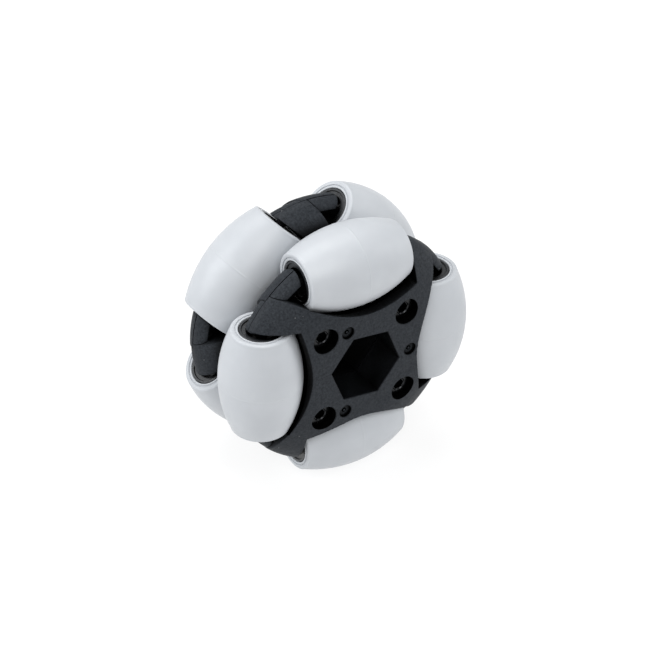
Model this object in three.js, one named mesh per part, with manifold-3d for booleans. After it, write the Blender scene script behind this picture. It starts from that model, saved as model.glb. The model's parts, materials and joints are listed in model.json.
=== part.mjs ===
// Double-row omni wheel for a hexagonal shaft.
// Drawn in the wheel's plane: x to the right, y up, z along the axle towards the front face.
// The whole wheel is then stood up, so that the axle lies along Y and the front face looks to -Y.
// Lengths are in millimetres, angles in degrees.

import * as THREE from 'three';
import { mergeVertices } from 'three/addons/utils/BufferGeometryUtils.js';
import Module from 'manifold-3d';

const wasm = await Module();
wasm.setup();

// Wheel
const wheelRadius = 25.4;
const halfWidth = 14.1;
const rowOffset = 7.05;
const rollersPerRow = 4;
const rowTurn = 45;
const hexAcrossFlats = 12.75;
const hexTurn = -7.5;

// Rollers: barrels whose outer line is part of the wheel's own circle
const rollerCircle = 17.78;
const rollerHalfLength = 10.64;
const edgeRound = 0.45;
const mouthRadius = 4.0;
const bondGap = 0.05;
const coreInset = 0.1;
const coreRimRadius = 3.4;
const coreRimHeight = 0.2;
const coreSocketRadius = 2.6;
const coreSocketDepth = 2.2;

// Axle pins
const pinRadius = 1.0;
const pinHalfLength = 13.0;
const pinRunningGap = 0.07;
const pinSeatGap = 0.04;

// Frame mouldings
const seamGap = 0.05;
const rimRadius = 23.4;
const faceFlatRadius = 11.4;
const archPower = 1.53;
const rollerClearance = 0.8;
const holderFace = 11.35;
const pegFace = 11.05;
const pocketHalfLength = 10.9;
const pegRingRadius = 20.95;
const pegRound = 2.4;
const pegStepRadius = 21.6;
const pegRootRound = 1.5;

// Edge of an arm's front, as (out from the axle, along the roller) beside a roller pointing out along x
const scallopStart = new THREE.Vector2(13.05, -holderFace);
const scallopBend = new THREE.Vector2(11.25, -4.2);
const scallopFloor = new THREE.Vector2(11.25, -1.2);
const flankBend = new THREE.Vector2(11.25, 3.86);
const flankEnd = new THREE.Vector2(15.62, 12.0);
const tipBend = new THREE.Vector2(16.95, 14.4);
const tipAngle = 43.9;

// Holes and screws
const holeSpacing = 17.15;
const counterboreRadius = 2.5;
const counterboreFloor = 9.95;
const screwHeadRadius = 2.25;
const screwHeadHeight = 2.5;
const screwSocketRadius = 1.05;
const screwSocketDepth = 1.2;
const screwRadius = 1.25;
const screwTip = 1.6;
const pilotFloor = 1.2;
const fitGap = 0.05;

// Moulding-gate dimples with a nub
const dimpleCircle = 9.6;
const dimpleAngles = [0, 115, 245];
const dimpleRadius = 1.25;
const dimpleDepth = 0.6;
const nubRadius = 0.35;
const nubHeight = 0.4;
const nubRoot = 0.5;

// How far a cutting shape runs past what it cuts
const cutMargin = 1;

// How finely round things are faceted
const rollerSegments = 16;
const holeSegments = 14;
const pinSegments = 10;
const rimSegments = 48;
const curveSteps = 4;
const archSteps = 7;
const ringSteps = 5;
const barrelSteps = 6;

const plastic = { color: 0x2b2d30, roughness: 0.6, metalness: 0 };
const softGrey = { color: 0xd3d7da, roughness: 0.5, metalness: 0 };
const corePlastic = { color: 0x323438, roughness: 0.55, metalness: 0 };
const pinSteel = { color: 0x2e3033, roughness: 0.4, metalness: 1 };
const screwSteel = { color: 0x303134, roughness: 0.35, metalness: 1 };

const radians = THREE.MathUtils.degToRad;

// Closed mesh to a solid that can be joined and cut
function solidFrom(geometry) {
  const bare = geometry.clone();
  bare.deleteAttribute('normal');
  bare.deleteAttribute('uv');
  const merged = mergeVertices(bare, 1e-5);
  const index = merged.index.array;
  const kept = [];
  for (let i = 0; i < index.length; i += 3) {
    const [a, b, c] = [index[i], index[i + 1], index[i + 2]];
    if (a !== b && b !== c && c !== a) {
      kept.push(a, b, c);
    }
  }
  return new wasm.Manifold(new wasm.Mesh({
    numProp: 3,
    vertProperties: new Float32Array(merged.attributes.position.array),
    triVerts: new Uint32Array(kept),
  }));
}

// Solid back to a geometry
function geometryFrom(solid) {
  const mesh = solid.getMesh();
  const geometry = new THREE.BufferGeometry();
  geometry.setAttribute('position', new THREE.BufferAttribute(mesh.vertProperties, 3));
  geometry.setIndex(new THREE.BufferAttribute(mesh.triVerts, 1));
  geometry.computeVertexNormals();
  return geometry;
}

function joined(solids) {
  return solids.reduce((whole, next) => whole.add(next));
}

// Solid of revolution about the wheel's axle, from [radius, z] points
function turnedOnAxle(points, segments) {
  const outline = points.map(([r, z]) => new THREE.Vector2(r, z));
  const geometry = new THREE.LatheGeometry(outline, segments);
  geometry.rotateX(Math.PI / 2);
  return geometry;
}

// Solid of revolution about a roller's own axle, which is left along y, from [radius, y] points
function turnedOnRoller(points, segments) {
  return new THREE.LatheGeometry(points.map(([r, y]) => new THREE.Vector2(r, y)), segments);
}

function slab(shape, low, high) {
  const geometry = new THREE.ExtrudeGeometry(shape, {
    depth: high - low,
    bevelEnabled: false,
    curveSegments: curveSteps,
  });
  geometry.translate(0, 0, low);
  return geometry;
}

// Upright round bar between two heights
function bar(radius, x, y, low, high) {
  const geometry = new THREE.CylinderGeometry(radius, radius, high - low, holeSegments);
  geometry.rotateX(Math.PI / 2);
  geometry.translate(x, y, (low + high) / 2);
  return solidFrom(geometry);
}

function turned(point, quarter) {
  return point.clone().rotateAround(new THREE.Vector2(0, 0), quarter * Math.PI / 2);
}

function rowAngles(turn) {
  return Array.from({ length: rollersPerRow }, (unused, i) => turn + i * 360 / rollersPerRow);
}

function polar(radius, angle) {
  return new THREE.Vector2(radius * Math.cos(radians(angle)), radius * Math.sin(radians(angle)));
}

// Plan of one row's arms: a scallop in front of each roller, and between them an arm whose
// clockwise flank runs out to the rim at the diagonal and whose other side is the holder's face
function armPlan() {
  const plan = new THREE.Shape();
  const rimEnd = 90 - THREE.MathUtils.radToDeg(Math.asin(holderFace / rimRadius));
  for (let quarter = 0; quarter < rollersPerRow; quarter += 1) {
    const curve = (bend, end) => {
      const through = turned(bend, quarter);
      const to = turned(end, quarter);
      plan.quadraticCurveTo(through.x, through.y, to.x, to.y);
    };
    const start = turned(scallopStart, quarter);
    if (quarter === 0) {
      plan.moveTo(start.x, start.y);
    } else {
      plan.lineTo(start.x, start.y);
    }
    curve(scallopBend, scallopFloor);
    curve(flankBend, flankEnd);
    curve(tipBend, polar(rimRadius, tipAngle));
    for (let i = 1; i <= curveSteps; i += 1) {
      const angle = THREE.MathUtils.lerp(tipAngle, rimEnd, i / curveSteps);
      const point = turned(polar(rimRadius, angle), quarter);
      plan.lineTo(point.x, point.y);
    }
  }
  plan.closePath();
  return plan;
}

function hexBore() {
  const shape = new THREE.Shape(Array.from({ length: 6 }, (unused, i) => (
    polar(hexAcrossFlats / Math.sqrt(3), hexTurn + i * 60)
  )));
  return solidFrom(slab(shape, -halfWidth - cutMargin, halfWidth + cutMargin));
}

// Room for one row's rollers to turn in
function rollerPockets(turn, height) {
  const points = [[0, -pocketHalfLength]];
  for (let i = 0; i <= barrelSteps; i += 1) {
    const y = THREE.MathUtils.lerp(-pocketHalfLength, pocketHalfLength, i / barrelSteps);
    points.push([Math.sqrt(wheelRadius ** 2 - y ** 2) - rollerCircle + rollerClearance, y]);
  }
  points.push([0, pocketHalfLength]);
  return joined(rowAngles(turn).map((angle) => {
    const geometry = turnedOnRoller(points, rollerSegments);
    geometry.translate(rollerCircle, 0, height);
    geometry.rotateZ(radians(angle));
    return solidFrom(geometry);
  }));
}

// Seats for one row's pins
function pinSeats(turn, height) {
  return joined(rowAngles(turn).map((angle) => {
    const length = 2 * (pinHalfLength + pinSeatGap);
    const geometry = new THREE.CylinderGeometry(
      pinRadius + pinSeatGap, pinRadius + pinSeatGap, length, pinSegments,
    );
    geometry.translate(rollerCircle, 0, height);
    geometry.rotateZ(radians(angle));
    return solidFrom(geometry);
  }));
}

// Half of one row's pegs, between two heights: parts of a ring about the axle, whose section steps
// in on the inner side, ending square to the rollers' ends
function pegRing(turn, middle, low, high) {
  const step = pegStepRadius - pegRingRadius;
  const outer = THREE.MathUtils.radToDeg(Math.acos(step / pegRound));
  const root = THREE.MathUtils.radToDeg(Math.acos(step / pegRootRound));
  const points = [];
  for (const [radius, from, to] of [[pegRound, -outer, outer], [pegRootRound, root, 360 - root]]) {
    for (let i = 0; i <= ringSteps; i += 1) {
      const point = polar(radius, THREE.MathUtils.lerp(from, to, i / ringSteps));
      points.push([pegRingRadius + point.x, middle + point.y]);
    }
  }
  points.push(points[0]);
  const ring = solidFrom(turnedOnAxle(points, rimSegments));
  const side = wheelRadius - pegFace;
  const corners = rowAngles(turn).map((angle) => {
    const box = new THREE.BoxGeometry(side, side, high - low);
    box.translate(pegFace + side / 2, pegFace + side / 2, (low + high) / 2);
    box.rotateZ(radians(angle));
    return solidFrom(box);
  });
  return ring.intersect(joined(corners));
}

// One half of a row, from the pins' plane to its flat outer face: arms that round over to the rim
function shell() {
  const low = rowOffset + seamGap;
  const profile = [[0, low]];
  for (let i = 0; i <= archSteps; i += 1) {
    const angle = radians(i * 90 / archSteps);
    const r = faceFlatRadius + (rimRadius - faceFlatRadius) * Math.cos(angle) ** (2 / archPower);
    const z = low + (halfWidth - low) * Math.sin(angle);
    profile.push([r, z]);
  }
  profile.push([0, halfWidth]);
  const rounded = solidFrom(turnedOnAxle(profile, rimSegments));
  return rounded.intersect(solidFrom(slab(armPlan(), low - cutMargin, halfWidth + cutMargin)));
}

// A solid turned over about a line in the wheel's plane, then moved along the axle
function turnedOver(solid, lineAngle, shift) {
  const line = polar(1, lineAngle);
  const turn = new THREE.Matrix4().makeRotationAxis(new THREE.Vector3(line.x, line.y, 0), Math.PI);
  const geometry = geometryFrom(solid);
  geometry.applyMatrix4(turn);
  geometry.translate(0, 0, shift);
  return solidFrom(geometry);
}

// Outer side moulding of the front row
function sidePlate() {
  const low = rowOffset + seamGap;
  let plate = shell();
  plate = plate.add(pegRing(0, rowOffset, low, halfWidth));
  plate = plate.subtract(rollerPockets(0, rowOffset));
  plate = plate.subtract(pinSeats(0, rowOffset));
  plate = plate.subtract(hexBore());
  const half = holeSpacing / 2;
  for (const [x, y] of [[half, half], [-half, half], [-half, -half], [half, -half]]) {
    plate = plate.subtract(bar(counterboreRadius, x, y, counterboreFloor, halfWidth + cutMargin));
    plate = plate.subtract(bar(screwRadius + fitGap, x, y, low - cutMargin, counterboreFloor + cutMargin));
  }
  for (const angle of dimpleAngles) {
    const place = polar(dimpleCircle, angle);
    const floor = halfWidth - dimpleDepth;
    plate = plate.subtract(bar(dimpleRadius, place.x, place.y, floor, halfWidth + cutMargin));
    plate = plate.add(bar(nubRadius, place.x, place.y, floor - nubRoot, floor + nubHeight));
  }
  return geometryFrom(plate);
}

// Middle moulding, holding the inner halves of both rows
function centreFrame() {
  const top = rowOffset - seamGap;
  const frontHalf = turnedOver(shell(), 45, 2 * rowOffset);
  let frame = frontHalf.add(turnedOver(frontHalf, rowTurn / 2, 0));
  frame = frame.add(pegRing(0, rowOffset, 0, top));
  frame = frame.add(pegRing(rowTurn, -rowOffset, -top, 0));
  frame = frame.subtract(rollerPockets(0, rowOffset));
  frame = frame.subtract(rollerPockets(rowTurn, -rowOffset));
  frame = frame.subtract(pinSeats(0, rowOffset));
  frame = frame.subtract(pinSeats(rowTurn, -rowOffset));
  frame = frame.subtract(hexBore());
  const circle = holeSpacing / Math.sqrt(2);
  for (const angle of rowAngles(rowTurn)) {
    const front = polar(circle, angle);
    const rear = polar(circle, angle - rowTurn);
    frame = frame.subtract(bar(screwRadius + fitGap, front.x, front.y, pilotFloor, top + cutMargin));
    frame = frame.subtract(bar(screwRadius + fitGap, rear.x, rear.y, -top - cutMargin, -pilotFloor));
  }
  return geometryFrom(frame);
}

// Soft barrel of a roller
function treadGeometry() {
  const outer = [];
  const reach = rollerHalfLength - edgeRound;
  for (let i = 0; i <= barrelSteps; i += 1) {
    const y = THREE.MathUtils.lerp(-reach, reach, i / barrelSteps);
    outer.push([Math.sqrt(wheelRadius ** 2 - y ** 2) - rollerCircle, y]);
  }
  const edge = Math.sqrt(wheelRadius ** 2 - rollerHalfLength ** 2) - rollerCircle;
  const mouth = mouthRadius + bondGap / 2;
  const first = [mouth, -rollerHalfLength];
  const points = [
    first,
    [edge - edgeRound, -rollerHalfLength],
    ...outer,
    [edge - edgeRound, rollerHalfLength],
    [mouth, rollerHalfLength],
    first,
  ];
  return turnedOnRoller(points, rollerSegments);
}

// Hard core inside a roller, with a raised rim and a socket at each end and a through bore
function coreGeometry() {
  const rim = rollerHalfLength - coreInset;
  const face = rim - coreRimHeight;
  const floor = face - coreSocketDepth;
  const bore = pinRadius + pinRunningGap;
  const half = [
    [mouthRadius - bondGap / 2, rim],
    [coreRimRadius, rim],
    [coreRimRadius, face],
    [coreSocketRadius, face],
    [coreSocketRadius, floor],
    [bore, floor],
  ];
  const other = half.map(([r, y]) => [r, -y]).reverse();
  return turnedOnRoller([...other, ...half, other[0]], rollerSegments);
}

function pinGeometry() {
  return turnedOnRoller([
    [0, -pinHalfLength],
    [pinRadius, -pinHalfLength],
    [pinRadius, pinHalfLength],
    [0, pinHalfLength],
  ], pinSegments);
}

function screwGeometry() {
  const seat = counterboreFloor + fitGap;
  const top = seat + screwHeadHeight;
  return turnedOnAxle([
    [0, screwTip],
    [screwRadius, screwTip],
    [screwRadius, seat],
    [screwHeadRadius, seat],
    [screwHeadRadius, top],
    [screwSocketRadius, top],
    [screwSocketRadius, top - screwSocketDepth],
    [0, top - screwSocketDepth],
  ], pinSegments);
}

function named(name, geometry, look) {
  const mesh = new THREE.Mesh(geometry, new THREE.MeshStandardMaterial(look));
  mesh.name = name;
  return mesh;
}

// Everything that one side's row has: side plate, rollers, pins and screws
function row(prefix, shapes) {
  const group = new THREE.Group();
  group.add(named(`${prefix}_side_plate`, shapes.plate, plastic));
  rowAngles(0).forEach((angle, i) => {
    const roller = new THREE.Group();
    const place = polar(rollerCircle, angle);
    roller.position.set(place.x, place.y, rowOffset);
    roller.rotation.z = radians(angle);
    roller.add(named(`${prefix}_tread_${i + 1}`, shapes.tread, softGrey));
    roller.add(named(`${prefix}_core_${i + 1}`, shapes.core, corePlastic));
    roller.add(named(`${prefix}_axle_pin_${i + 1}`, shapes.pin, pinSteel));
    group.add(roller);
    const screw = named(`${prefix}_screw_${i + 1}`, shapes.screw, screwSteel);
    const spot = polar(holeSpacing / Math.sqrt(2), angle + rowTurn);
    screw.position.set(spot.x, spot.y, 0);
    group.add(screw);
  });
  return group;
}

const shapes = {
  plate: sidePlate(),
  tread: treadGeometry(),
  core: coreGeometry(),
  pin: pinGeometry(),
  screw: screwGeometry(),
};

const wheel = new THREE.Group();
wheel.add(row('front', shapes));
wheel.add(named('centre_frame', centreFrame(), plastic));

// The rear row is the front one turned over, about the line halfway between the two rows' rollers
const rear = row('rear', shapes);
const flipLine = polar(1, rowTurn / 2);
rear.quaternion.setFromAxisAngle(new THREE.Vector3(flipLine.x, flipLine.y, 0), Math.PI);
wheel.add(rear);

wheel.rotation.x = Math.PI / 2;

export default wheel;
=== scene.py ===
# Looks of a double-row omni wheel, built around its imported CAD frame.
# Lengths in the constants are in millimetres and angles in degrees, unless a heading says otherwise.
# Mouldings are drawn in the wheel's plane: x to the right, y up, z along the axle towards the front
# face. TO_FRAME stands that drawing up in the frame, where the front face looks to -Y.

import json
import math

import bpy
from mathutils import Matrix, Vector


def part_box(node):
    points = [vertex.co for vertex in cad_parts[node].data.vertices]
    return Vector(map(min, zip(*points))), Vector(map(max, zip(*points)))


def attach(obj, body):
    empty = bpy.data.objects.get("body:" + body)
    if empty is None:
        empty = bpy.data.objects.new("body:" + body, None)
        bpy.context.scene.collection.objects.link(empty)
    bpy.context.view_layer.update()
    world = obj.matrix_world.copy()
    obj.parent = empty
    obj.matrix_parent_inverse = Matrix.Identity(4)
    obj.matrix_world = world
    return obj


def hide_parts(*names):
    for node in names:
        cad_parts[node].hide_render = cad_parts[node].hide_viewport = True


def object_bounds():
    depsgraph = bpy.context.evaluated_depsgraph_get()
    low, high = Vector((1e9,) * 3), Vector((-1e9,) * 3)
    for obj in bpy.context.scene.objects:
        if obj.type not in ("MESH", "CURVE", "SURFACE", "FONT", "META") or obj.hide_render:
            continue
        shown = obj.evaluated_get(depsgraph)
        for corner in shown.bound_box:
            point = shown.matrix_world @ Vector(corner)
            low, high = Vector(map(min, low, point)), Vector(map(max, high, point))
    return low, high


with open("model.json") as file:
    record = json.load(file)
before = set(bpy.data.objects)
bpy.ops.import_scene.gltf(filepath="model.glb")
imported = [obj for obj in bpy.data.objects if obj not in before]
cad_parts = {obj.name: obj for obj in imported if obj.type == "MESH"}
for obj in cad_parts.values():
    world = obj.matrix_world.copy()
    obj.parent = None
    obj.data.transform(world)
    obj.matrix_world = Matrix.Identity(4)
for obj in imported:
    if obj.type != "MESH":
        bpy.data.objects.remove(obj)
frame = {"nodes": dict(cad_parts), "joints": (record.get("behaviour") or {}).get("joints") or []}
cad_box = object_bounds()

MM = 0.001
TO_FRAME = Matrix(((MM, 0, 0, 0), (0, 0, -MM, 0), (0, MM, 0, 0), (0, 0, 0, 1)))

# Wheel
WHEEL_RADIUS = 25.4
HALF_WIDTH = 14.1
ROW_OFFSET = 7.05
ROLLERS_PER_ROW = 4
ROW_TURN = 45
HEX_ACROSS_FLATS = 12.75
HEX_TURN = -7.5

# Treads
ROLLER_CIRCLE = 17.78
ROLLER_HALF_LENGTH = 10.64
EDGE_ROUND = 0.45
EDGE_START_ANGLE = 15
MOUTH_RADIUS = 4.025
GROOVE_RADIUS = 4.5
GROOVE_HALF_WIDTH = 0.12
GROOVE_DEPTH = 0.2
GROOVE_TAPER = 0.03
GROOVE_EDGE_ROUND = 0.06
LIP_ROUND = 0.12
MOULD_LINE_HALF_WIDTH = 0.08
MOULD_LINE_HEIGHT = 0.025

# Cores and pins
CORE_RADIUS = 3.975
CORE_INSET = 0.1
CORE_RIM_RADIUS = 3.4
CORE_RIM_HEIGHT = 0.2
CORE_SOCKET_RADIUS = 2.6
CORE_SOCKET_DEPTH = 2.2
CORE_BORE = 1.07
CORE_CHAMFER = 0.12
PIN_RADIUS = 1.0
PIN_HALF_LENGTH = 13.0
PIN_CHAMFER = 0.2

# Frame mouldings
SEAM_GAP = 0.07
SEAM_TRIM = 0.5
RIM_RADIUS = 23.4
FACE_FLAT_RADIUS = 11.4
ARCH_POWER = 1.53
ROLLER_CLEARANCE = 0.8
HOLDER_FACE = 11.35
PEG_FACE = 11.05
POCKET_HALF_LENGTH = 10.9
PEG_RING_RADIUS = 20.95
PEG_ROUND = 2.4
PEG_STEP_RADIUS = 21.6
PEG_ROOT_ROUND = 1.5
CREASE_TURN = 0.42
CREASE_DEPTH = 0.3
SCALLOP_START = (13.05, -HOLDER_FACE)
SCALLOP_BEND = (11.25, -4.2)
SCALLOP_FLOOR = (11.25, -1.2)
FLANK_BEND = (11.25, 3.86)
FLANK_END = (15.62, 12.0)
TIP_BEND = (16.95, 14.4)
TIP_ANGLE = 43.9
CUT_MARGIN = 1.0

# Holes, screws and moulding-gate dimples
HOLE_SPACING = 17.15
HOLE_CIRCLE = HOLE_SPACING / math.sqrt(2)
COUNTERBORE_RADIUS = 2.5
COUNTERBORE_FLOOR = 9.95
SCREW_HOLE_RADIUS = 1.3
PILOT_FLOOR = 1.2
SCREW_RADIUS = 1.25
SCREW_HEAD_RADIUS = 2.25
SCREW_HEAD_HEIGHT = 2.5
SCREW_EDGE_ROUND = 0.25
SCREW_SEAT = 10.0
SCREW_TIP = 1.6
SCREW_TIP_CHAMFER = 0.2
SCREW_SOCKET_FLATS = 2.0
SCREW_SOCKET_DEPTH = 1.2
SCREW_SOCKET_RIM = 0.15
DIMPLE_CIRCLE = 9.6
DIMPLE_ANGLES = (0, 115, 245)
DIMPLE_RADIUS = 1.25
DIMPLE_DEPTH = 0.6
PIT_RADIUS = 0.48
PIT_DEPTH = 0.4
NUB_RADIUS = 0.2
NUB_TOP = 0.1
NUB_ROOT = 0.3
EDGE_BREAK = 0.12

# Fineness of the meshes
RIM_SEGMENTS = 192
ROLLER_SEGMENTS = 96
HOLE_SEGMENTS = 48
CURVE_STEPS = 24
BARREL_STEPS = 28
EDGE_STEPS = 6
GROOVE_EDGE_STEPS = 3
LIP_STEPS = 4
SCREW_EDGE_STEPS = 5
CRISP_ANGLE = 35
MOULDING_VOXEL = 0.1
MOULDING_SOFTENING = 1
MOULDING_KEPT_SHARE = 0.17

# Colours, in linear light
FRAME_DARK = (0.0155, 0.0175, 0.0208)
FRAME_LIGHT = (0.038, 0.0427, 0.0493)
FRAME_SPECK = (0.19, 0.195, 0.2)
CORE_DARK = (0.014, 0.0155, 0.018)
CORE_LIGHT = (0.028, 0.031, 0.035)
CORE_SPECK = (0.08, 0.085, 0.09)
TREAD_DARK = (0.454, 0.474, 0.5)
TREAD_LIGHT = (0.486, 0.506, 0.532)
PIN_DARK = (0.012, 0.012, 0.013)
PIN_LIGHT = (0.022, 0.022, 0.024)
SCREW_DARK = (0.022, 0.0225, 0.024)
SCREW_LIGHT = (0.036, 0.037, 0.039)
BLACK = (0, 0, 0)

# Specular levels and roughness, and the span that most of a noise lies in
NOISE_SPAN = (0.3, 0.7)
FRAME_SPECULAR = 0.07
FRAME_ROUGHNESS = 0.5
CORE_SPECULAR = 0.5
CORE_ROUGHNESS = 0.3
ROUGHNESS_SWING = 0.08
TREAD_ROUGHNESS = (0.36, 0.46)
PIN_ROUGHNESS = (0.4, 0.55)
SCREW_ROUGHNESS = (0.16, 0.26)

# How far the plastics look for the other wall of a hollow, a gap and a crease, to paint shade there
HOLLOW_SHADE_REACH = 15
GAP_SHADE_REACH = 6
CREASE_SHADE_REACH = 1

# Camera, as fitted to the viewing angle, with its place in metres
CAMERA_PLACE = (-0.18638, -0.27533, 0.24328)
CAMERA_RIGHT = (0.83668, -0.54719, 0.02336)
CAMERA_UP = (0.30731, 0.50435, 0.80697)
CAMERA_BACK = (-0.45335, -0.66799, 0.59014)
CAMERA_LENS = 124.95
CAMERA_SENSOR = 36.0

# Floor and light, in metres and watts
FLOOR_REACH = 3.0
FLOOR_COLOUR = (0.2, 0.2, 0.2)
FLOOR_GLOW = 0.82
SKY_COLOUR = (0.965, 0.98, 1.0)
SKY_STRENGTH = 0.46
LAMP_SIZE = 0.6
WARM = (1.0, 0.995, 0.985)
COOL = (0.97, 0.985, 1.0)
LAMPS = (
    ("top", (0.05, 0.25, 0.75), 3.6, WARM),
    ("front", (-0.19, -0.51, 0.65), 3.2, WARM),
    ("left", (-0.65, 0.3, 0.4), 3.5, COOL),
    ("right", (0.7, -0.3, 0.25), 1.5, COOL),
)


# ---------------------------------------------------------------- camera, floor and light

def make_camera():
    data = bpy.data.cameras.new("camera")
    data.lens = CAMERA_LENS
    data.sensor_width = CAMERA_SENSOR
    data.clip_start = 0.01
    data.clip_end = 20
    camera = bpy.data.objects.new("camera", data)
    turn = Matrix((CAMERA_RIGHT, CAMERA_UP, CAMERA_BACK)).transposed()
    camera.matrix_world = Matrix.Translation(CAMERA_PLACE) @ turn.to_4x4()
    bpy.context.scene.collection.objects.link(camera)
    bpy.context.scene.camera = camera


def make_floor():
    low = cad_box[0].z
    outline = square(-FLOOR_REACH, FLOOR_REACH)
    floor = mesh_object("floor", [(x, y, low) for x, y in outline], [(0, 1, 2, 3)])
    paint = bpy.data.materials.new("pale_floor")
    paint.use_nodes = True
    shader = paint.node_tree.nodes["Principled BSDF"]
    shader.inputs["Base Color"].default_value = (*FLOOR_COLOUR, 1)
    shader.inputs["Roughness"].default_value = 0.9
    shader.inputs["Specular IOR Level"].default_value = 0.0
    shader.inputs["Emission Color"].default_value = (1, 1, 1, 1)
    shader.inputs["Emission Strength"].default_value = FLOOR_GLOW
    floor.data.materials.append(paint)


def make_lamp(name, place, power, colour):
    """Round lamp that shines at the wheel's middle."""
    data = bpy.data.lights.new(name, "AREA")
    data.shape = "DISK"
    data.size = LAMP_SIZE
    data.energy = power
    data.color = colour
    lamp = bpy.data.objects.new(name, data)
    aim = (-Vector(place)).to_track_quat("-Z", "Y")
    lamp.matrix_world = Matrix.Translation(place) @ aim.to_matrix().to_4x4()
    bpy.context.scene.collection.objects.link(lamp)


def make_light():
    scene = bpy.context.scene
    world = bpy.data.worlds.new("studio")
    world.use_nodes = True
    background = world.node_tree.nodes["Background"]
    background.inputs["Color"].default_value = (*SKY_COLOUR, 1)
    background.inputs["Strength"].default_value = SKY_STRENGTH
    scene.world = world
    scene.view_settings.view_transform = "Standard"
    for name, place, power, colour in LAMPS:
        make_lamp(name, place, power, colour)


# ---------------------------------------------------------------- outlines

def polar(radius, angle):
    return (radius * math.cos(math.radians(angle)), radius * math.sin(math.radians(angle)))


def circle(radius, count, turn=0.0, middle=(0.0, 0.0)):
    """Corners of a regular polygon, anticlockwise."""
    corners = [polar(radius, turn + 360 * i / count) for i in range(count)]
    return [(middle[0] + x, middle[1] + y) for x, y in corners]


def hexagon(across_flats, turn=0.0):
    return circle(across_flats / math.sqrt(3), 6, turn)


def square(near, far):
    """Outline from (near, near) to (far, far), anticlockwise."""
    return [(near, near), (far, near), (far, far), (near, far)]


def arc(middle, radius, start, end, steps):
    points = []
    for i in range(steps + 1):
        x, y = polar(radius, start + (end - start) * i / steps)
        points.append((middle[0] + x, middle[1] + y))
    return points


def bezier(start, bend, end, steps):
    """Points after the start of a quadratic curve."""
    points = []
    for i in range(1, steps + 1):
        t = i / steps
        points.append(tuple(
            (1 - t) ** 2 * a + 2 * t * (1 - t) * b + t * t * c for a, b, c in zip(start, bend, end)
        ))
    return points


def quarter_turned(point, quarters):
    x, y = point
    for _ in range(quarters):
        x, y = -y, x
    return (x, y)


def mirrored(profile):
    """A profile's upper half, from the middle up, with its mirror image in front of it."""
    return [(r, -z) for r, z in reversed(profile)] + profile


# ---------------------------------------------------------------- meshes

def mesh_object(name, points, faces):
    mesh = bpy.data.meshes.new(name)
    mesh.from_pydata([tuple(p) for p in points], [], faces)
    mesh.validate()
    thing = bpy.data.objects.new(name, mesh)
    bpy.context.scene.collection.objects.link(thing)
    return thing


def spun(name, profile, segments, closed=False):
    """Solid of revolution about z, from (radius, z) points that run anticlockwise seen with z up."""
    points = []
    rings = []
    for radius, z in profile:
        if radius == 0:
            rings.append([len(points)] * segments)
            points.append((0, 0, z))
            continue
        rings.append(list(range(len(points), len(points) + segments)))
        for i in range(segments):
            angle = 2 * math.pi * i / segments
            points.append((radius * math.cos(angle), radius * math.sin(angle), z))
    faces = []
    pairs = list(zip(rings, rings[1:]))
    if closed:
        pairs.append((rings[-1], rings[0]))
    for lower, upper in pairs:
        for i in range(segments):
            j = (i + 1) % segments
            corners = []
            for corner in (lower[i], lower[j], upper[j], upper[i]):
                if corner not in corners:
                    corners.append(corner)
            if len(corners) > 2:
                faces.append(tuple(corners))
    return mesh_object(name, points, faces)


def prism(name, outline, low, high, spread=1.0):
    """Upright prism over an anticlockwise outline, whose top is that many times larger."""
    count = len(outline)
    points = [(x, y, low) for x, y in outline] + [(x * spread, y * spread, high) for x, y in outline]
    faces = [tuple(reversed(range(count))), tuple(range(count, 2 * count))]
    for i in range(count):
        j = (i + 1) % count
        faces.append((i, j, count + j, count + i))
    return mesh_object(name, points, faces)


def bar(radius, x, y, low, high):
    """Upright round bar."""
    return prism("bar", circle(radius, HOLE_SEGMENTS, middle=(x, y)), low, high)


def settle(thing):
    """Applies the modifiers."""
    graph = bpy.context.evaluated_depsgraph_get()
    done = bpy.data.meshes.new_from_object(thing.evaluated_get(graph))
    thing.modifiers.clear()
    thing.data = done
    return thing


def combined(base, operation, tools):
    """The base after a boolean with each tool, which uses the tools up."""
    for tool in tools:
        step = base.modifiers.new("combine", "BOOLEAN")
        step.operation = operation
        step.solver = "MANIFOLD"
        step.object = tool
    settle(base)
    for tool in tools:
        bpy.data.objects.remove(tool)
    return base


def softened(thing):
    """The moulding as one even fine mesh, with its edges slightly rounded."""
    even = thing.modifiers.new("even", "REMESH")
    even.mode = "VOXEL"
    even.voxel_size = MOULDING_VOXEL
    soft = thing.modifiers.new("soft", "SMOOTH")
    soft.factor = 0.5
    soft.iterations = MOULDING_SOFTENING
    fewer = thing.modifiers.new("fewer", "DECIMATE")
    fewer.ratio = MOULDING_KEPT_SHARE
    return settle(thing)


def moved(thing, matrix):
    thing.data.transform(matrix)
    return thing


def turned_over(thing, line_angle, shift):
    """Turned over about a line in the wheel's plane, then moved along the axle."""
    flip = Matrix.Rotation(math.pi, 4, Vector((*polar(1, line_angle), 0)))
    return moved(thing, Matrix.Translation((0, 0, shift)) @ flip)


def copied(thing, name):
    twin = bpy.data.objects.new(name, thing.data.copy())
    bpy.context.scene.collection.objects.link(twin)
    return twin


def smooth(thing):
    thing.data.polygons.foreach_set("use_smooth", [True] * len(thing.data.polygons))
    return thing


def crisp(thing):
    """Smooth shading breaks at the sharp edges."""
    thing.data.set_sharp_from_angle(angle=math.radians(CRISP_ANGLE))
    return thing


def dress(thing, paint, body, node):
    thing.data.materials.clear()
    thing.data.materials.append(paint)
    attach(thing, body)
    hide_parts(node)


# ---------------------------------------------------------------- frame mouldings

def row_angles(turn):
    return [turn + 360 * i / ROLLERS_PER_ROW for i in range(ROLLERS_PER_ROW)]


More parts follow.
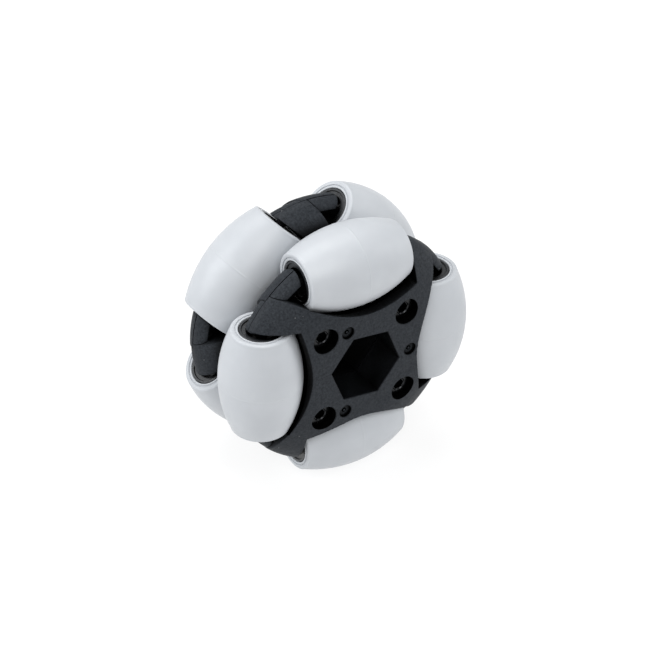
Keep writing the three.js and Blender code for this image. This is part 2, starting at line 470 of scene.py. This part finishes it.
def arm_plan():
    """Outline of four arms, with a scallop in front of each roller between them."""
    outline = []
    rim_end = 90 - math.degrees(math.asin(HOLDER_FACE / RIM_RADIUS))
    tip = polar(RIM_RADIUS, TIP_ANGLE)
    for quarter in range(ROLLERS_PER_ROW):
        side = [SCALLOP_START]
        side += bezier(SCALLOP_START, SCALLOP_BEND, SCALLOP_FLOOR, CURVE_STEPS)
        side += bezier(SCALLOP_FLOOR, FLANK_BEND, FLANK_END, CURVE_STEPS)
        side += bezier(FLANK_END, TIP_BEND, tip, CURVE_STEPS)
        for i in range(1, CURVE_STEPS + 1):
            side.append(polar(RIM_RADIUS, TIP_ANGLE + (rim_end - TIP_ANGLE) * i / CURVE_STEPS))
        outline += [quarter_turned(point, quarter) for point in side]
    return outline


def shell():
    """Half of one row, from the pins' plane to its outer face: arms that round over to the rim.

    It runs a little past the pins' plane, to be trimmed there once its edges are softened.
    """
    low = ROW_OFFSET + SEAM_GAP
    profile = [(0, low - SEAM_TRIM), (RIM_RADIUS, low - SEAM_TRIM)]
    for i in range(CURVE_STEPS + 1):
        angle = math.radians(90 * i / CURVE_STEPS)
        run = (RIM_RADIUS - FACE_FLAT_RADIUS) * max(math.cos(angle), 0) ** (2 / ARCH_POWER)
        rise = (HALF_WIDTH - low) * math.sin(angle)
        profile.append((FACE_FLAT_RADIUS + run, low + rise))
    profile.append((0, HALF_WIDTH))
    dome = spun("shell", profile, RIM_SEGMENTS)
    plan = prism("plan", arm_plan(), low - CUT_MARGIN, HALF_WIDTH + CUT_MARGIN)
    return combined(dome, "INTERSECT", [plan])


def along_rollers(name, profile, turn, height):
    """The same turned shape about each of a row's roller axles."""
    found = []
    for angle in row_angles(turn):
        thing = spun(name, profile, ROLLER_SEGMENTS)
        lie_down = Matrix.Rotation(-math.pi / 2, 4, "X")
        place = Matrix.Translation((ROLLER_CIRCLE, 0, height))
        found.append(moved(thing, Matrix.Rotation(math.radians(angle), 4, "Z") @ place @ lie_down))
    return found


def roller_pockets(turn, height):
    profile = [(0, -POCKET_HALF_LENGTH)]
    for i in range(CURVE_STEPS + 1):
        along = POCKET_HALF_LENGTH * (2 * i / CURVE_STEPS - 1)
        profile.append((barrel_radius(along) + ROLLER_CLEARANCE, along))
    profile.append((0, POCKET_HALF_LENGTH))
    return along_rollers("pocket", profile, turn, height)


def pin_seats(turn, height):
    radius = PIN_RADIUS + SEAM_GAP
    reach = PIN_HALF_LENGTH + SEAM_GAP
    profile = [(0, -reach), (radius, -reach), (radius, reach), (0, reach)]
    return along_rollers("seat", profile, turn, height)


def holder_ring(turn, middle, low, high):
    """Pegs of a ring about the axle, stepped on the inner side, that end square to the rollers' ends."""
    rise = PEG_STEP_RADIUS - PEG_RING_RADIUS
    outer = math.degrees(math.acos(rise / PEG_ROUND))
    root = math.degrees(math.acos(rise / PEG_ROOT_ROUND))
    place = (PEG_RING_RADIUS, middle)
    section = arc(place, PEG_ROUND, -outer, outer, CURVE_STEPS)
    section += arc(place, PEG_ROOT_ROUND, root, 360 - root, CURVE_STEPS)
    ring = spun("ring", section, RIM_SEGMENTS, closed=True)
    corners = []
    for angle in row_angles(turn):
        corner = prism("corner", square(PEG_FACE, WHEEL_RADIUS), low, high)
        corners.append(moved(corner, Matrix.Rotation(math.radians(angle), 4, "Z")))
    kept = combined(corners[0], "UNION", corners[1:])
    return combined(ring, "INTERSECT", [kept])


def creases():
    """Thin cutters that mark where the upper half of a row's pegs leave the arms' flanks."""
    flank = bezier(FLANK_END, TIP_BEND, polar(RIM_RADIUS, TIP_ANGLE), CURVE_STEPS)
    flank.append(polar(WHEEL_RADIUS, TIP_ANGLE))
    turn = Matrix.Rotation(math.radians(-CREASE_TURN), 2)
    outline = [tuple(turn @ Vector(point)) for point in flank] + flank[::-1]
    place = (PEG_RING_RADIUS, ROW_OFFSET)
    kept = arc(place, PEG_ROUND - CREASE_DEPTH, 0, 360 - 360 / HOLE_SEGMENTS, HOLE_SEGMENTS - 1)
    blades = []
    for angle in row_angles(0):
        blade = prism("crease", outline, ROW_OFFSET, ROW_OFFSET + PEG_ROUND)
        moved(blade, Matrix.Rotation(math.radians(angle), 4, "Z"))
        blades.append(combined(blade, "DIFFERENCE", [spun("kept", kept, RIM_SEGMENTS, closed=True)]))
    return blades


def slab(low, high):
    """Cutter as wide as the wheel."""
    return prism("slab", square(-WHEEL_RADIUS, WHEEL_RADIUS), low, high)


def hex_bore():
    outline = hexagon(HEX_ACROSS_FLATS, HEX_TURN)
    return prism("hex", outline, -HALF_WIDTH - CUT_MARGIN, HALF_WIDTH + CUT_MARGIN)


def hex_mouth():
    """Bevel round the hexagon's edge in the front face."""
    outline = hexagon(HEX_ACROSS_FLATS, HEX_TURN)
    spread = 1 + 2 * (EDGE_BREAK + CUT_MARGIN) / HEX_ACROSS_FLATS
    return prism("hex_mouth", outline, HALF_WIDTH - EDGE_BREAK, HALF_WIDTH + CUT_MARGIN, spread)


def face_hole(radius, x, y, floor):
    """Round hole from the front face down to a floor, with a bevelled edge."""
    profile = [
        (0, floor),
        (radius, floor),
        (radius, HALF_WIDTH - EDGE_BREAK),
        (radius + EDGE_BREAK + CUT_MARGIN, HALF_WIDTH + CUT_MARGIN),
        (0, HALF_WIDTH + CUT_MARGIN),
    ]
    return moved(spun("hole", profile, HOLE_SEGMENTS), Matrix.Translation((x, y, 0)))


def side_plate():
    low = ROW_OFFSET + SEAM_GAP
    plate = shell()
    combined(plate, "UNION", [holder_ring(0, ROW_OFFSET, low - SEAM_TRIM, HALF_WIDTH)])
    combined(plate, "DIFFERENCE", roller_pockets(0, ROW_OFFSET) + pin_seats(0, ROW_OFFSET))
    softened(plate)
    cutters = [slab(low - CUT_MARGIN, low), hex_bore(), hex_mouth()] + creases()
    nubs = []
    for angle in row_angles(ROW_TURN):
        x, y = polar(HOLE_CIRCLE, angle)
        cutters.append(face_hole(COUNTERBORE_RADIUS, x, y, COUNTERBORE_FLOOR))
        cutters.append(bar(SCREW_HOLE_RADIUS, x, y, low - CUT_MARGIN, COUNTERBORE_FLOOR + CUT_MARGIN))
    floor = HALF_WIDTH - DIMPLE_DEPTH
    for angle in DIMPLE_ANGLES:
        x, y = polar(DIMPLE_CIRCLE, angle)
        cutters.append(face_hole(DIMPLE_RADIUS, x, y, floor))
        cutters.append(bar(PIT_RADIUS, x, y, floor - PIT_DEPTH, floor + DIMPLE_DEPTH / 2))
        nubs.append(bar(NUB_RADIUS, x, y, floor - PIT_DEPTH - NUB_ROOT, floor + NUB_TOP))
    combined(plate, "DIFFERENCE", cutters)
    return combined(plate, "UNION", nubs)


def centre_frame():
    top = ROW_OFFSET - SEAM_GAP
    front_half = turned_over(shell(), ROW_TURN, 2 * ROW_OFFSET)
    rear_half = turned_over(copied(front_half, "rear_half"), ROW_TURN / 2, 0)
    pegs = [
        holder_ring(0, ROW_OFFSET, 0, top + SEAM_TRIM),
        holder_ring(ROW_TURN, -ROW_OFFSET, -top - SEAM_TRIM, 0),
    ]
    middle = combined(front_half, "UNION", [rear_half] + pegs)
    rows = ((0, ROW_OFFSET), (ROW_TURN, -ROW_OFFSET))
    room = []
    for turn, height in rows:
        room += roller_pockets(turn, height) + pin_seats(turn, height)
    softened(combined(middle, "DIFFERENCE", room))
    cutters = [slab(top, top + CUT_MARGIN), slab(-top - CUT_MARGIN, -top), hex_bore()]
    for blade in creases():
        cutters.append(turned_over(blade, ROW_TURN, 2 * ROW_OFFSET))
        cutters.append(turned_over(copied(blade, "crease"), ROW_TURN / 2, 0))
    for turn, height in rows:
        for angle in row_angles(ROW_TURN - turn):
            x, y = polar(HOLE_CIRCLE, angle)
            ends = sorted((math.copysign(PILOT_FLOOR, height), math.copysign(top + CUT_MARGIN, height)))
            cutters.append(bar(SCREW_HOLE_RADIUS, x, y, *ends))
    return combined(middle, "DIFFERENCE", cutters)


def make_frame_mouldings(paint):
    front = side_plate()
    rear = turned_over(copied(front, "rear"), ROW_TURN / 2, 0)
    middle = centre_frame()
    for moulding, node in ((front, "front_side_plate"), (middle, "centre_frame"), (rear, "rear_side_plate")):
        moulding.name = node + "_moulding"
        moved(moulding, TO_FRAME)
        crisp(smooth(moulding))
        dress(moulding, paint, "frame", node)


# ---------------------------------------------------------------- rollers, pins and screws

def barrel_radius(along):
    """Radius of a roller, so far along it that the row's rollers together make the wheel's circle."""
    return math.sqrt(WHEEL_RADIUS ** 2 - along ** 2) - ROLLER_CIRCLE


def tread_profile():
    """Upper half of the soft barrel: mould line, barrel, rounded end, groove, lip and mouth."""
    end = ROLLER_HALF_LENGTH
    widest = barrel_radius(0)
    half = [
        (widest + MOULD_LINE_HEIGHT, MOULD_LINE_HALF_WIDTH / 2),
        (widest + MOULD_LINE_HEIGHT / 2, MOULD_LINE_HALF_WIDTH),
        (widest, MOULD_LINE_HALF_WIDTH * 1.5),
    ]
    for i in range(1, BARREL_STEPS + 1):
        along = (end - EDGE_ROUND) * i / BARREL_STEPS
        half.append((barrel_radius(along), along))
    edge = barrel_radius(end - EDGE_ROUND)
    half += arc((edge - EDGE_ROUND, end - EDGE_ROUND), EDGE_ROUND, EDGE_START_ANGLE, 90, EDGE_STEPS)
    outer = GROOVE_RADIUS + GROOVE_HALF_WIDTH
    inner = GROOVE_RADIUS - GROOVE_HALF_WIDTH
    groove_edge = (outer + GROOVE_EDGE_ROUND, end - GROOVE_EDGE_ROUND)
    half += arc(groove_edge, GROOVE_EDGE_ROUND, 90, 180, GROOVE_EDGE_STEPS)
    half.append((outer - GROOVE_TAPER, end - GROOVE_DEPTH))
    half.append((inner + GROOVE_TAPER, end - GROOVE_DEPTH))
    half += arc((inner - LIP_ROUND, end - LIP_ROUND), LIP_ROUND, 0, 90, LIP_STEPS)
    half += arc((MOUTH_RADIUS + LIP_ROUND, end - LIP_ROUND), LIP_ROUND, 90, 180, LIP_STEPS)
    return mirrored(half)


def core_profile():
    """Upper half of the hard core: skin, raised rim, end face and socket, chamfered, and the bore."""
    end = ROLLER_HALF_LENGTH - CORE_INSET
    face = end - CORE_RIM_HEIGHT
    floor = face - CORE_SOCKET_DEPTH
    return mirrored([
        (CORE_RADIUS, end - CORE_CHAMFER),
        (CORE_RADIUS - CORE_CHAMFER, end),
        (CORE_RIM_RADIUS + CORE_CHAMFER, end),
        (CORE_RIM_RADIUS, face),
        (CORE_SOCKET_RADIUS + CORE_CHAMFER, face),
        (CORE_SOCKET_RADIUS, face - CORE_CHAMFER),
        (CORE_SOCKET_RADIUS - CORE_CHAMFER, floor),
        (CORE_BORE + CORE_CHAMFER, floor),
        (CORE_BORE, floor - CORE_CHAMFER),
    ])


def pin_profile():
    end = PIN_HALF_LENGTH
    return mirrored([
        (PIN_RADIUS, end - PIN_CHAMFER),
        (PIN_RADIUS - PIN_CHAMFER, end),
        (0, end),
    ])


def axle_place(joint):
    """Matrix that lays a shape turned about z along a roller's axle."""
    aim = Vector((0, 0, 1)).rotation_difference(Vector(joint["axis"]))
    return Matrix.Translation(joint["pos_m"]) @ aim.to_matrix().to_4x4() @ Matrix.Scale(MM, 4)


def make_rollers(tread_paint, core_paint, pin_paint):
    tread = spun("tread", tread_profile(), ROLLER_SEGMENTS, closed=True)
    core = spun("core", core_profile(), ROLLER_SEGMENTS, closed=True)
    pin = spun("axle_pin", pin_profile(), HOLE_SEGMENTS)
    kinds = (
        ("tread", tread, tread_paint, "soft_tread"),
        ("core", core, core_paint, "core_plastic"),
        ("axle_pin", pin, pin_paint, "pin_steel"),
    )
    for kind, shape, paint, slot in kinds:
        smooth(shape)
        for joint in frame["joints"]:
            body = joint["child"]
            node = body.replace("roller", kind)
            piece = moved(copied(shape, node + "_piece"), axle_place(joint))
            crisp(piece)
            dress(piece, paint, "frame" if kind == "axle_pin" else body, node)
        bpy.data.objects.remove(shape)


def screw_shape():
    """Socket-head screw along z, with a hexagonal socket and a rounded head."""
    top = SCREW_SEAT + SCREW_HEAD_HEIGHT
    profile = [
        (0, SCREW_TIP),
        (SCREW_RADIUS - SCREW_TIP_CHAMFER, SCREW_TIP),
        (SCREW_RADIUS, SCREW_TIP + SCREW_TIP_CHAMFER),
        (SCREW_RADIUS, SCREW_SEAT),
        (SCREW_HEAD_RADIUS, SCREW_SEAT),
    ]
    head_edge = (SCREW_HEAD_RADIUS - SCREW_EDGE_ROUND, top - SCREW_EDGE_ROUND)
    profile += arc(head_edge, SCREW_EDGE_ROUND, 0, 90, SCREW_EDGE_STEPS)
    profile.append((0, top))
    screw = spun("screw", profile, HOLE_SEGMENTS)
    socket = prism("socket", hexagon(SCREW_SOCKET_FLATS), top - SCREW_SOCKET_DEPTH, top + CUT_MARGIN)
    corner_radius = SCREW_SOCKET_FLATS / math.sqrt(3)
    rim = spun("rim", [
        (0, top - SCREW_SOCKET_RIM),
        (corner_radius, top - SCREW_SOCKET_RIM),
        (corner_radius + SCREW_SOCKET_RIM + CUT_MARGIN, top + CUT_MARGIN),
        (0, top + CUT_MARGIN),
    ], HOLE_SEGMENTS)
    return combined(screw, "DIFFERENCE", [socket, rim])


def make_screws(paint):
    shape = smooth(screw_shape())
    for node in sorted(frame["nodes"]):
        if "_screw_" not in node:
            continue
        low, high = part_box(node)
        middle = (low + high) / 2
        piece = moved(copied(shape, node + "_piece"), TO_FRAME)
        if middle.y > 0:
            moved(piece, Matrix.Rotation(math.pi, 4, "X"))
        moved(piece, Matrix.Translation((middle.x, 0, middle.z)))
        crisp(piece)
        dress(piece, paint, "frame", node)
    bpy.data.objects.remove(shape)


# ---------------------------------------------------------------- materials

class Paint:
    """A Principled material and short calls for its procedural nodes. Pattern sizes are in millimetres."""

    def __init__(self, name, metallic=0.0):
        self.material = bpy.data.materials.new(name)
        self.material.use_nodes = True
        self.tree = self.material.node_tree
        self.shader = self.tree.nodes["Principled BSDF"]
        self.shader.inputs["Metallic"].default_value = metallic
        self.place = self.tree.nodes.new("ShaderNodeTexCoord").outputs["Object"]

    def link(self, output, target):
        self.tree.links.new(output, target)

    def noise(self, size, detail=3.0, roughness=0.55):
        node = self.tree.nodes.new("ShaderNodeTexNoise")
        node.inputs["Scale"].default_value = 1 / (size * MM)
        node.inputs["Detail"].default_value = detail
        node.inputs["Roughness"].default_value = roughness
        self.link(self.place, node.inputs["Vector"])
        return node.outputs["Fac"]

    def cells(self, size):
        """Distance from the middle of the nearest cell."""
        node = self.tree.nodes.new("ShaderNodeTexVoronoi")
        node.inputs["Scale"].default_value = 1 / (size * MM)
        self.link(self.place, node.inputs["Vector"])
        return node.outputs["Distance"]

    def openness(self, reach, only_local):
        """1 on an open face, falling towards 0 deep in a hole or a narrow gap.

        The faces looked for within reach are the piece's own, or also those of its neighbours.
        """
        node = self.tree.nodes.new("ShaderNodeAmbientOcclusion")
        node.samples = 8
        node.only_local = only_local
        node.inputs["Distance"].default_value = reach * MM
        return node.outputs["AO"]

    def ramp(self, source, span, colours):
        """The first colour up to the span's low end, the second from its high end on."""
        node = self.tree.nodes.new("ShaderNodeValToRGB")
        for element, position, colour in zip(node.color_ramp.elements, span, colours):
            element.position = position
            element.color = (*colour, 1)
        self.link(source, node.inputs["Fac"])
        return node.outputs["Color"]

    def stretch(self, source, span, to_span):
        """The source with its span laid over another one, and held at its ends."""
        node = self.tree.nodes.new("ShaderNodeMapRange")
        for key, value in zip(("From Min", "From Max", "To Min", "To Max"), (*span, *to_span)):
            node.inputs[key].default_value = value
        self.link(source, node.inputs["Value"])
        return node.outputs["Result"]

    def maths(self, operation, first, second):
        node = self.tree.nodes.new("ShaderNodeMath")
        node.operation = operation
        self.link(first, node.inputs[0])
        self.link(second, node.inputs[1])
        return node.outputs["Value"]

    def mixed(self, share, first, colour):
        """The first output with a share of a colour over it, by the node's colour sockets 6, 7 and 2."""
        node = self.tree.nodes.new("ShaderNodeMix")
        node.data_type = "RGBA"
        self.link(share, node.inputs["Factor"])
        self.link(first, node.inputs[6])
        node.inputs[7].default_value = (*colour, 1)
        return node.outputs[2]

    def colour(self, output):
        self.link(output, self.shader.inputs["Base Color"])

    def roughness(self, output):
        self.link(output, self.shader.inputs["Roughness"])

    def bump(self, height, depth, strength):
        node = self.tree.nodes.new("ShaderNodeBump")
        node.inputs["Strength"].default_value = strength
        node.inputs["Distance"].default_value = depth * MM
        self.link(height, node.inputs["Height"])
        self.link(node.outputs["Normal"], self.shader.inputs["Normal"])


def moulded_plastic(name, dark, light, speck, specular, roughness):
    """Glass-filled black plastic: fine mottling, a few pale specks, a slight grain, and painted shade that
    turns it black in its holes, gaps and creases.
    """
    paint = Paint(name)
    paint.shader.inputs["Specular IOR Level"].default_value = specular
    mottle = paint.noise(0.4, detail=4, roughness=0.7)
    base = paint.ramp(mottle, (0.32, 0.7), (dark, light))
    dot = paint.stretch(paint.cells(1.7), (0.04, 0.08), (1, 0))
    chosen = paint.stretch(paint.noise(5, detail=1), (0.54, 0.6), (0, 1))
    specked = paint.mixed(paint.maths("MULTIPLY", dot, chosen), base, speck)
    # Painted shade: the three masks below darken the colour to black where the piece is closed in, in its
    # own hollows, in narrow gaps to its neighbours and in creases, because shade falls there.
    hollow_shade = paint.stretch(paint.openness(HOLLOW_SHADE_REACH, only_local=True), (0.6, 0.95), (1, 0))
    gap_shade = paint.stretch(paint.openness(GAP_SHADE_REACH, only_local=False), (0.48, 0.75), (1, 0))
    crease = paint.stretch(paint.openness(CREASE_SHADE_REACH, only_local=False), (0.55, 0.95), (1, 0))
    painted_shade = paint.maths("MAXIMUM", hollow_shade, paint.maths("MAXIMUM", gap_shade, crease))
    paint.colour(paint.mixed(painted_shade, specked, BLACK))
    swing = (roughness - ROUGHNESS_SWING, roughness + ROUGHNESS_SWING)
    paint.roughness(paint.stretch(paint.noise(1.2), NOISE_SPAN, swing))
    paint.bump(paint.noise(0.28), depth=0.02, strength=0.5)
    return paint.material


def soft_tread():
    """Light grey overmoulded elastomer: almost even, with faint clouding and a satin skin."""
    paint = Paint("soft_tread")
    paint.colour(paint.ramp(paint.noise(6, detail=2), NOISE_SPAN, (TREAD_DARK, TREAD_LIGHT)))
    paint.roughness(paint.stretch(paint.noise(2), NOISE_SPAN, TREAD_ROUGHNESS))
    paint.bump(paint.noise(0.35, detail=2), depth=0.006, strength=0.35)
    paint.shader.inputs["Subsurface Weight"].default_value = 0.12
    paint.shader.inputs["Subsurface Radius"].default_value = (1, 1, 1)
    paint.shader.inputs["Subsurface Scale"].default_value = MM
    return paint.material


def steel(name, dark, light, roughness):
    """Dark metal with a patchy finish and a fine grain."""
    paint = Paint(name, metallic=1.0)
    paint.colour(paint.ramp(paint.noise(0.8, detail=4), NOISE_SPAN, (dark, light)))
    paint.roughness(paint.stretch(paint.noise(0.3), NOISE_SPAN, roughness))
    paint.bump(paint.noise(0.12, detail=2), depth=0.004, strength=0.4)
    return paint.material


# ---------------------------------------------------------------- the scene

make_camera()
make_floor()
make_light()
make_frame_mouldings(
    moulded_plastic("frame_plastic", FRAME_DARK, FRAME_LIGHT, FRAME_SPECK, FRAME_SPECULAR, FRAME_ROUGHNESS)
)
make_rollers(
    soft_tread(),
    moulded_plastic("core_plastic", CORE_DARK, CORE_LIGHT, CORE_SPECK, CORE_SPECULAR, CORE_ROUGHNESS),
    steel("black_pin", PIN_DARK, PIN_LIGHT, PIN_ROUGHNESS),
)
make_screws(steel("screw_steel", SCREW_DARK, SCREW_LIGHT, SCREW_ROUGHNESS))
